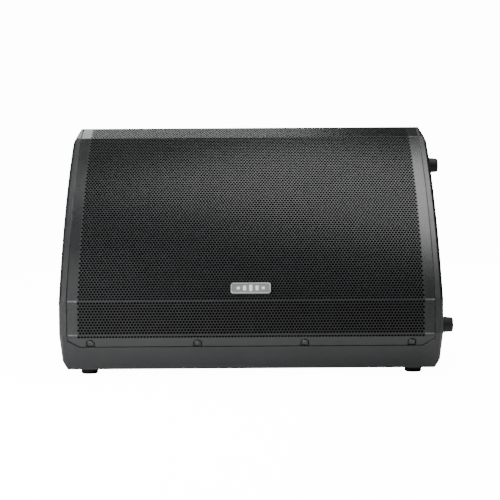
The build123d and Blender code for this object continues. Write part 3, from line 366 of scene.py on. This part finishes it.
def slab(outline, low, high, place):
    """A prism over a 2-D outline, between two heights of a plane."""
    bm = bmesh.new()
    ring = [bm.verts.new((x, y, low)) for x, y in outline]
    face = bm.faces.new(ring)
    up = bmesh.ops.extrude_face_region(bm, geom=[face])
    moved = [v for v in up["geom"] if isinstance(v, bmesh.types.BMVert)]
    bmesh.ops.translate(bm, verts=moved, vec=(0, 0, high - low))
    bmesh.ops.recalc_face_normals(bm, faces=bm.faces)
    bmesh.ops.triangulate(bm, faces=bm.faces)
    bmesh.ops.transform(bm, matrix=place, verts=bm.verts)
    return bm


def gather(name, pieces, material, body="cabinet"):
    """Joins several bmeshes into one object."""
    verts, faces = [], []
    for bm in pieces:
        start = len(verts)
        bm.verts.index_update()
        verts += [v.co.copy() for v in bm.verts]
        faces += [[start + v.index for v in f.verts] for f in bm.faces]
        bm.free()
    return solid(name, verts, faces, [material], body)


def rounded(wide, high, radius, inset=0.0, steps=6):
    """The outline of a rectangle with round corners, drawn in by inset."""
    wide, high, radius = wide - 2 * inset, high - 2 * inset, max(radius - inset, 0.0002)
    points = []
    for corner, (sx, sy) in enumerate(((1, 1), (-1, 1), (-1, -1), (1, -1))):
        for k in range(steps + 1):
            a = math.pi / 2 * (corner + k / steps)
            points.append((
                sx * (wide / 2 - radius) + radius * math.cos(a),
                sy * (high / 2 - radius) + radius * math.sin(a),
            ))
    return points


def stack(place, rings, closed=False):
    """A body lofted through (outline, height) rings; closed joins the last one to the first."""
    bm = bmesh.new()
    loops = [[bm.verts.new(place @ Vector((x, y, z))) for x, y in outline] for outline, z in rings]
    count = len(loops[0])
    pairs = list(zip(loops, loops[1:])) + ([(loops[-1], loops[0])] if closed else [])
    for low, high in pairs:
        for k in range(count):
            nxt = (k + 1) % count
            bm.faces.new((low[k], low[nxt], high[nxt], high[k]))
    if not closed:
        bm.faces.new(loops[0][::-1])
        bm.faces.new(loops[-1])
    bmesh.ops.recalc_face_normals(bm, faces=bm.faces)
    return bm


def disc(x, y, radius, steps=24):
    """The outline of a circle."""
    turns = [math.tau * k / steps for k in range(steps)]
    return [(x + radius * math.cos(a), y + radius * math.sin(a)) for a in turns]


def turned_box(x, y, wide, high, turn=0.0):
    """The outline of a rectangle turned about its middle."""
    c, s = math.cos(turn), math.sin(turn)
    w, h = wide / 2, high / 2
    corners = ((w, h), (-w, h), (-w, -h), (w, -h))
    return [(x + a * c - b * s, y + a * s + b * c) for a, b in corners]


# ------------------------------------------------------------------ grille
# The folded sheet is laid out flat as (across, along) and bent round the same profile as the CAD
# sheet: lower flange, upright facet, long arc, top flange.
g_low, g_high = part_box("grille")
MID = (g_low.x + g_high.x) / 2
HALF = (g_high.x - g_low.x) / 2
FRONT = g_low.y
KICK = math.atan2(34.0, 59.5)
FLANGE, FACET = 22.0 * MM, 54.7 * MM
RADIUS = 754.0 * MM
LOW_LEAN, HIGH_LEAN = math.radians(29.2), math.radians(56.7)
TOP_LEAN, TOP = math.radians(68.1), 44.5 * MM
ARC = RADIUS * (HIGH_LEAN - LOW_LEAN)
SHEET = 1.5 * MM
FOLD = 1.2 * MM
PITCH = 5.0 * MM
ROW = PITCH * math.sqrt(3) / 2
HOLE = 2.1 * MM
MARGIN = 15.0 * MM
LEAST_EDGES = 0.8 * MM  # plain sheet left beside the two folds of a stretch
ARC_RISE = RADIUS * (math.sin(HIGH_LEAN) - math.sin(LOW_LEAN))
FOLD_Z = g_high.z - (TOP * math.cos(TOP_LEAN) + ARC_RISE + FACET)


def sharp_profile(v):
    """(Y, Z) and the outward normal at a length along the profile from the low fold."""
    if v < 0:
        y, z = FRONT - v * math.sin(KICK), FOLD_Z + v * math.cos(KICK)
        ny, nz = -math.cos(KICK), -math.sin(KICK)
    elif v <= FACET:
        y, z = FRONT, FOLD_Z + v
        ny, nz = -1.0, 0.0
    elif v <= FACET + ARC:
        a = LOW_LEAN + (v - FACET) / RADIUS
        y = FRONT + RADIUS * (math.cos(LOW_LEAN) - math.cos(a))
        z = FOLD_Z + FACET + RADIUS * (math.sin(a) - math.sin(LOW_LEAN))
        ny, nz = -math.cos(a), math.sin(a)
    else:
        s = v - FACET - ARC
        y = FRONT + RADIUS * (math.cos(LOW_LEAN) - math.cos(HIGH_LEAN)) + s * math.sin(TOP_LEAN)
        z = FOLD_Z + FACET + ARC_RISE + s * math.cos(TOP_LEAN)
        ny, nz = -math.cos(TOP_LEAN), math.sin(TOP_LEAN)
    return Vector((y, z)), Vector((ny, nz))


def on_profile(v, depth):
    """(Y, Z) that deep behind the surface, with each fold rounded."""
    point, normal = sharp_profile(v)
    for fold in (0.0, FACET, FACET + ARC):
        if abs(v - fold) < FOLD:
            t = (v - fold + FOLD) / (2 * FOLD)
            (a, na), (b, nb) = sharp_profile(fold - FOLD), sharp_profile(fold + FOLD)
            middle = sharp_profile(fold)[0]
            point = a * (1 - t) ** 2 + middle * 2 * t * (1 - t) + b * t**2
            normal = na.lerp(nb, t).normalized()
    return point - normal * depth


def bend(u, v, depth):
    """A point of the flat sheet, brought to its place on the folded one."""
    return (MID + u, *on_profile(v, depth))


STEPS = 12
RIM_TURNS = [math.tau * (k + 0.5) / STEPS for k in range(STEPS)]
RIM_POINTS = [(math.cos(a), math.sin(a)) for a in RIM_TURNS]
# places in the sheet's list of materials
WEB_FACE, HOLE_WALL, FOLD_STRIP, MARGIN_FACE = range(4)


class Sheet:
    """Collects one stretch of the sheet: cells with holes, plain quads, and the walls between."""

    def __init__(self):
        self.verts, self.faces, self.kinds, self.seen = [], [], [], {}

    def add(self, face, kind=WEB_FACE):
        self.faces.append(face)
        self.kinds.append(kind)

    def point(self, u, v, depth):
        """The index of a point, which neighbours share."""
        key = (round(u * 1e7), round(v * 1e7), depth > 0)
        if key not in self.seen:
            self.seen[key] = len(self.verts)
            self.verts.append(bend(u, v, depth))
        return self.seen[key]

    def plain(self, u0, u1, v0, v1, kind=WEB_FACE):
        """A rectangle with no hole, on both faces of the sheet."""
        for depth, flip in ((0.0, False), (SHEET, True)):
            q = [self.point(u, v, depth) for u, v in ((u0, v0), (u1, v0), (u1, v1), (u0, v1))]
            self.add(q[::-1] if flip else q, kind)

    def holed(self, u, v0, v1):
        """A cell one pitch wide with a round hole through its middle."""
        vm = (v0 + v1) / 2
        w = PITCH / 2
        outer = [(u + w, v0), (u + w, v1), (u, v1), (u - w, v1), (u - w, v0), (u, v0)]
        circle = [(u + HOLE * c, vm + HOLE * s) for c, s in RIM_POINTS]
        # hole point k faces outer corner k // 2; corners run from the low right one
        order = [1, 1, 2, 2, 3, 3, 4, 4, 5, 5, 0, 0]
        rings = []
        for depth, flip in ((0.0, False), (SHEET, True)):
            o = [self.point(*p, depth) for p in outer]
            c = [self.point(*p, depth) for p in circle]
            rings.append(c)
            for k in range(STEPS):
                nxt = (k + 1) % STEPS
                a, b = order[k], order[nxt]
                f = [c[k], o[a], c[nxt]]
                self.add(f[::-1] if flip else f)
                if a != b:
                    f = [o[a], o[b], c[nxt]]
                    self.add(f[::-1] if flip else f)
        for k in range(STEPS):
            nxt = (k + 1) % STEPS
            # each hole's wall takes the painted shade
            self.add([rings[0][k], rings[0][nxt], rings[1][nxt], rings[1][k]], HOLE_WALL)

    def side(self, p, q):
        """A wall through the sheet's thickness between two points of its edge."""
        a, b = self.point(*p, 0.0), self.point(*q, 0.0)
        c, d = self.point(*q, SHEET), self.point(*p, SHEET)
        self.add([a, b, c, d])


COLUMNS = int((2 * HALF - 2 * MARGIN) / PITCH)
FIELD = COLUMNS * PITCH / 2


def row(sheet, v0, v1, index, holes=True):
    """One row of the lattice, with plain margins; odd rows are shifted by half a pitch."""
    # beside a fold the plain margins take the painted fold highlight
    margin = MARGIN_FACE if holes else FOLD_STRIP
    sheet.plain(-HALF, -FIELD, v0, v1, margin)
    sheet.plain(FIELD, HALF, v0, v1, margin)
    half = PITCH / 2
    if not holes:
        for k in range(2 * COLUMNS):
            sheet.plain(-FIELD + k * half, -FIELD + (k + 1) * half, v0, v1)
    elif index % 2:
        sheet.plain(-FIELD, -FIELD + half, v0, v1)
        for k in range(COLUMNS - 1):
            sheet.holed(-FIELD + (k + 1) * PITCH, v0, v1)
        sheet.plain(FIELD - half, FIELD, v0, v1)
    else:
        for k in range(COLUMNS):
            sheet.holed(-FIELD + (k + 0.5) * PITCH, v0, v1)
    for u in (-HALF, HALF):
        sheet.side((u, v0), (u, v1))


def plain_rows(start, end):
    """Three narrow strips with no holes, so that a fold beside them can curve."""
    step = (end - start) / 3
    return [(start + i * step, start + (i + 1) * step, 0, False) for i in range(3)]


def stretch(start, end, first):
    """Rows that fill the sheet between two folds, as (v0, v1, index, has holes)."""
    count = int((end - start - LEAST_EDGES) / ROW)
    edge = (end - start - count * ROW) / 2
    rows = plain_rows(start, start + edge)
    for i in range(count):
        rows.append((start + edge + i * ROW, start + edge + (i + 1) * ROW, first + i, True))
    return rows + plain_rows(end - edge, end), first + count


lower, nxt = stretch(0.0, FACET, 1)
arc, nxt = stretch(FACET, FACET + ARC, nxt)
upper, nxt = stretch(FACET + ARC, FACET + ARC + TOP, nxt)
bottom = [(-FOLD - ROW, -FOLD, 0, True), *plain_rows(-FOLD, 0.0)]
third = len(arc) // 3
groups = {
    "grille_lower": bottom + lower,
    "grille_face_1": arc[:third],
    "grille_face_2": arc[third : 2 * third],
    "grille_face_3": arc[2 * third :],
    "grille_upper": upper,
}
made = []
for name, rows in groups.items():
    sheet = Sheet()
    for v0, v1, index, holes in rows:
        row(sheet, v0, v1, index, holes)
    if name == "grille_upper":
        end = rows[-1][1]
        points = [-HALF, *[-FIELD + k * PITCH / 2 for k in range(2 * COLUMNS + 1)], HALF]
        for a, b in zip(points, points[1:]):
            sheet.side((a, end), (b, end))
    finishes = [WEB, HOLE_PAINTED_SHADE, FOLD_PAINTED_HIGHLIGHT, FINISH["grille_steel"]]
    made.append(solid(name, sheet.verts, sheet.faces, finishes, kinds=sheet.kinds))

# the plain part of the lower flange, notched at its screws
flange_place = axes((MID, FRONT, FOLD_Z), (1, 0, 0), (0, -math.cos(KICK), -math.sin(KICK)))
NOTCH, DISH = 7.0 * MM, 2.4 * MM
SCREWS = [(i - 1.5) * 171.5 * MM for i in range(4)]
SCREW_V = -15.5 * MM
top_v = -FOLD - ROW


def u_shape(x, half, low):
    """The outline of a notch open at its lower edge, from its right foot round to its left."""
    turns = [math.pi * k / 12 for k in range(13)]
    top = [(x + half * math.cos(a), SCREW_V + half * math.sin(a)) for a in turns]
    return [(x + half, low), *top, (x - half, low)]


# the flange's lower corners are cut off this far across and this far up
CUT_ACROSS, CUT_UP = 19 * MM, 13 * MM
outline = [(-HALF + CUT_ACROSS, -FLANGE)]
for x in SCREWS:
    outline += u_shape(x, NOTCH, -FLANGE)[::-1]
outline += [(HALF - CUT_ACROSS, -FLANGE), (HALF, -FLANGE + CUT_UP), (HALF, top_v), (FIELD, top_v)]
outline += [(FIELD - k * PITCH / 2, top_v) for k in range(1, 2 * COLUMNS)]
outline += [(-FIELD, top_v), (-HALF, top_v), (-HALF, -FLANGE + CUT_UP)]
made.append(gather("grille_flange", [slab(outline, -SHEET, 0.0, flange_place)], FLANGE_STEEL))
tabs, sides = [], []
for x in SCREWS:
    tab = u_shape(x, NOTCH - 1.6 * MM, -FLANGE)
    tabs.append(slab(tab, -DISH - 0.2 * MM, -DISH + 0.5 * MM, flange_place))
    # the dish's floor ring and wall take the painted shade, a dark outline round each screw
    rim = u_shape(x, NOTCH + 1.2 * MM, -FLANGE)
    sides.append(slab(rim, -DISH - SHEET, -DISH - 0.1 * MM, flange_place))
    wall = rim + u_shape(x, NOTCH, -FLANGE)[::-1]
    sides.append(slab(wall, -DISH - 0.1 * MM, -0.3 * MM, flange_place))
made.append(gather("grille_screw_tabs", tabs, FINISH["grille_steel"]))
made.append(gather("grille_screw_recesses", sides, HOLE_PAINTED_SHADE))
for o in made:
    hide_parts("grille")

# a thin black strip between the sheet's lowest holes and the moulding behind them, painted shade
# that makes those holes dark
verts, faces = [], []
stops = [top_v - 0.5 * MM + i * 1.0 * MM for i in range(15)]
NEAR, FAR = 1.53 * MM, 1.74 * MM
section = ((-FIELD, NEAR), (FIELD, NEAR), (FIELD, FAR), (-FIELD, FAR))
for v in stops:
    verts += [bend(u, v, depth) for u, depth in section]
for i in range(len(stops) - 1):
    for k in range(4):
        a, b = 4 * i + k, 4 * i + (k + 1) % 4
        faces.append([a, b, b + 4, a + 4])
faces += [[3, 2, 1, 0], [len(verts) - 4 + k for k in range(4)]]
solid("grille_painted_shade_strip", verts, faces, [FINISH["foam"]])

# ------------------------------------------------------------------ badge
BADGE_UP = 21.0 * MM  # its middle, along the arc from the fold below it
BADGE_SHAPE = (64, 19, 4.2)  # width, height and corner radius in millimetres
spot, normal = sharp_profile(FACET + BADGE_UP)
BADGE = axes((MID, *spot), (1, 0, 0), (0, *normal)) @ Matrix.Scale(MM, 4)
edge_of_rim = ((0, 0), (0, 1.7), (0.35, 2.2), (0.95, 2.4), (1.6, 2.2), (1.95, 1.7), (1.95, 0.4))
rim = stack(BADGE, [(rounded(*BADGE_SHAPE, inset), z) for inset, z in edge_of_rim], closed=True)
field = stack(BADGE, [(rounded(*BADGE_SHAPE, 1.9), z) for z in (0.0, 1.45)])
bars = []
bar_levels = ((0.0, 1.4), (0.0, 1.9), (0.3, 2.15))
for x, high in ((-20, 5), (-10, 8.6), (0, 11), (10, 8.6), (20, 5)):
    place = BADGE @ Matrix.Translation((x, 0, 0))
    bars.append(stack(place, [(rounded(5, high, 1.2, inset), z) for inset, z in bar_levels]))
for name, pieces, material in (
    ("badge_rim", [rim], RIM),
    ("badge_field", [field], FIELD_PAINT),
    ("badge_bars", bars, BARS),
):
    o = gather(name, pieces, material)
    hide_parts("badge")

# ------------------------------------------------------------------ amplifier panel
# Places on the panel are in millimetres from its middle, seen from behind the cabinet.
p_low, p_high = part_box("amp_panel")
LEAN = math.radians(16.3145)
OUT = Vector((0, math.cos(LEAN), math.sin(LEAN)))
PANEL = axes((p_low + p_high) / 2 + OUT * 1.5 * MM, (-1, 0, 0), OUT) @ Matrix.Scale(MM, 4)
KNOBS = {"level_knob": (52, 52), "bass_knob": (84, 52), "treble_knob": (116, 52)}
FLUTES = 18
# a knob's profile: radius, height, depth of its grooves
KNOB_LEVELS = (
    (3.0, -10.0, 0), (3.0, 0.9, 0), (8.6, 1.0, 0), (9.0, 1.3, 0), (9.0, 2.6, 0),
    (8.7, 3.0, 0.15), (8.5, 3.6, 0.5), (8.1, 12.2, 0.5), (7.9, 13.0, 0.35), (7.5, 13.6, 0.1),
    (6.9, 13.95, 0), (6.2, 14.0, 0), (5.6, 13.7, 0),
)


def fluted(radius, depth):
    """A knob's outline, with shallow grooves round it."""
    points = []
    for k in range(FLUTES * 6):
        a = math.tau * k / (FLUTES * 6)
        groove = max(0.0, math.cos(a * FLUTES)) ** 2 * depth
        points.append(((radius - groove) * math.cos(a), (radius - groove) * math.sin(a)))
    return points


for name, (x, y) in KNOBS.items():
    place = PANEL @ Matrix.Translation((x, y, 0))
    rings = [(fluted(r, d), z) for r, z, d in KNOB_LEVELS]
    knob = gather(name + "_cap", [stack(place, rings)], FINISH["knob_plastic"], name)
    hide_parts(name)
    line = [
        stack(place, [(turned_box(0, 5.6, 1.1, 4.4), 13.5), (turned_box(0, 5.6, 1.1, 4.4), 14.05)]),
        stack(place, [(turned_box(0, 8.5, 1.1, 0.9), 3.2), (turned_box(0, 8.0, 1.1, 0.9), 12.6)]),
    ]
    gather(name + "_pointer", line, PRINT, name)

marks = []


def mark(outline):
    """Adds one printed shape to the panel."""
    marks.append(stack(PANEL, [(outline, -0.02), (outline, 0.05)]))


def stroke(x0, y0, x1, y1, wide=0.35):
    """Adds a printed line between two places on the panel."""
    turn = math.atan2(y1 - y0, x1 - x0)
    mark(turned_box((x0 + x1) / 2, (y0 + y1) / 2, math.hypot(x1 - x0, y1 - y0) + wide, wide, turn))


TICK_START = 11.4
for x, y in KNOBS.values():
    for k in range(11):
        a = math.radians(240 - 30 * k)
        c, s = math.cos(a), math.sin(a)
        reach = 14.2 if k in (0, 5, 10) else 13.2
        stroke(x + TICK_START * c, y + TICK_START * s, x + reach * c, y + reach * s)
    stroke(x - 9.6, y - 14.6, x - 7.2, y - 14.6)
    stroke(x + 7.2, y - 14.6, x + 9.6, y - 14.6)
    stroke(x + 8.4, y - 15.8, x + 8.4, y - 13.4)
# frames round the sockets, the knobs, the buttons with their lamps, the inlet and the switch
frames = (
    (-8, -12, 24, 73), (34, 33, 134, 73), (34, -6, 134, 22), (2, -68, 58, -32), (76, -68, 116, -32),
)
for x0, y0, x1, y1 in frames:
    for a, b, c, d in ((x0, y0, x1, y0), (x1, y0, x1, y1), (x1, y1, x0, y1), (x0, y1, x0, y0)):
        stroke(a, b, c, d, 0.3)
stroke(24, 52, 34, 52)
stroke(32, 53.4, 34, 52)
stroke(32, 50.6, 34, 52)
for x in (52, 84):
    stroke(x - 3, 15.5, x + 3, 15.5)
    stroke(x - 3, 0.5, x - 1, 0.5)
    stroke(x + 1, 0.5, x + 3, 0.5)
for x in (108, 116, 124):
    stroke(x - 1.6, 12.5, x + 1.6, 12.5)
gather("panel_print", marks, PRINT)

# small screws of the connectors, each with a straight slot left between two half heads
HEAD_RADIUS = 2.3
heads = []
SCREW_SPOTS = (
    (-2, 66.5, 2), (18, 37.5, 2), (-2, 22.5, 2), (18, -6.5, 2), (10, -50, 3), (50, -50, 3),
)
for x, y, z in SCREW_SPOTS:
    for side in (0, 1):
        turns = [math.pi * (side + 0.09 + 0.82 * k / 10) for k in range(11)]
        half = [(x + HEAD_RADIUS * math.cos(a), y + HEAD_RADIUS * math.sin(a)) for a in turns]
        top = [(x + (a - x) * 0.8, y + (b - y) * 0.8) for a, b in half]
        heads.append(stack(PANEL, [(half, z - 0.3), (half, z + 0.6), (top, z + 0.95)]))
    heads.append(stack(PANEL, [(disc(x, y, 2.25), z - 0.4), (disc(x, y, 2.25), z + 0.25)]))
gather("connector_screws", heads, FINISH["black_screw"])

# on and off marks on the rocker, which rests tipped by 8 degrees
tip = math.radians(8)
HALF_LENGTH, CREST, SIGN_AT = 11.5, 1.6, 6.5  # of one half of the rocker, in millimetres
rocker_out = Vector((math.sin(tip), 0, math.cos(tip)))
rocker_across = Vector((0, -1, 0)).cross(rocker_out)
signs = []
for side in (-1, 1):
    slope = (rocker_out * CREST + rocker_across * HALF_LENGTH * side).normalized()
    up = (rocker_out * HALF_LENGTH - rocker_across * CREST * side).normalized()
    spot = Vector((96, -50, 1)) + rocker_out * (2.4 + CREST * SIGN_AT / HALF_LENGTH)
    spot += rocker_across * SIGN_AT * side
    place = PANEL @ axes(spot, slope, up)
    if side > 0:
        outer, inner = disc(0, 0, 1.9), disc(0, 0, 1.35)
        rings = [(outer, -0.1), (outer, 0.06), (inner, 0.06), (inner, -0.1)]
        signs.append(stack(place, rings, closed=True))
    else:
        bar = turned_box(0, 0, 3.6, 0.6)
        signs.append(stack(place, [(bar, -0.1), (bar, 0.06)]))
gather("rocker_marks", signs, PRINT, "power_rocker")

# ------------------------------------------------------------------ camera, lights, floor
WHITE, WORLD_LIGHT, FLOOR_LIGHT = 14.0, 0.01, 0.02
camera = bpy.data.objects.new("camera", bpy.data.cameras.new("camera"))
bpy.context.scene.collection.objects.link(camera)
camera.data.lens = 108.3
camera.data.clip_end = 50
camera.location = (MID - 0.001, FRONT - 2.385, 0.3507)
pitch, roll = math.radians(3.470), math.radians(0.37)
camera.matrix_world = (
    Matrix.Translation(camera.location)
    @ Matrix.Rotation(math.pi / 2 - pitch, 4, "X")
    @ Matrix.Rotation(-roll, 4, "Z")
)
bpy.context.scene.camera = camera


def seen_white(tree, light, seen, out):
    """Shows plain white to the camera and gives off another amount of light to the object."""
    n, l = tree.nodes, tree.links
    path = n.new("ShaderNodeLightPath")
    pick = n.new("ShaderNodeMix")
    l.new(path.outputs["Is Camera Ray"], pick.inputs[0])
    pick.inputs[2].default_value = light
    pick.inputs[3].default_value = seen
    l.new(pick.outputs[0], out)


world = bpy.data.worlds.new("world")
bpy.context.scene.world = world
world.use_nodes = True
backdrop = world.node_tree.nodes["Background"]
backdrop.inputs["Color"].default_value = (1, 1, 1, 1)
seen_white(world.node_tree, WORLD_LIGHT, WHITE, backdrop.inputs["Strength"])

floor_shade = bpy.data.materials.new("floor")
floor_shade.use_nodes = True
pale = floor_shade.node_tree.nodes["Principled BSDF"]
pale.inputs["Base Color"].default_value = (0.85, 0.85, 0.85, 1)
pale.inputs["Roughness"].default_value = 0.9
pale.inputs["Emission Color"].default_value = (1, 1, 1, 1)
seen_white(floor_shade.node_tree, FLOOR_LIGHT, WHITE, pale.inputs["Emission Strength"])
me = bpy.data.meshes.new("floor")
me.from_pydata([(-9, -9, 0), (9, -9, 0), (9, 9, 0), (-9, 9, 0)], [], [(0, 1, 2, 3)])
me.materials.append(floor_shade)
floor = bpy.data.objects.new("floor", me)
bpy.context.scene.collection.objects.link(floor)
floor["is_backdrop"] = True


def lamp(name, at, aim, size, power, colour=(1, 1, 1)):
    data = bpy.data.lights.new(name, "AREA")
    data.shape = "RECTANGLE"
    data.size, data.size_y = size
    data.energy = power
    data.color = colour
    o = bpy.data.objects.new(name, data)
    bpy.context.scene.collection.objects.link(o)
    o.location = at
    o.rotation_euler = (Vector(aim) - Vector(at)).to_track_quat("-Z", "Y").to_euler()
    return o


lamp("overhead", (0.42, -0.16, 1.9), (0.34, -0.1, 0.3), (0.9, 1.5), 34)
lamp("behind_left", (-0.56, 1.9, 1.9), (-0.12, 0.1, 0.3), (1.6, 1.0), 20)
lamp("front_left_high", (-0.55, -0.95, 1.35), (-0.3, -0.18, 0.12), (0.45, 0.5), 1.3)
lamp("floor_left", (-1.0, -0.95, 0.75), (-0.27, -0.42, 0.0), (0.5, 0.5), 32)
lamp("front_low_left", (-0.8, -1.9, 0.12), (-0.25, -0.2, 0.1), (0.8, 0.2), 1.5)
lamp("behind_low", (0.5, 2.3, 0.8), (0.0, 0.15, 0.2), (1.6, 0.9), 14)

# ------------------------------------------------------------------ finish
low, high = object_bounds()
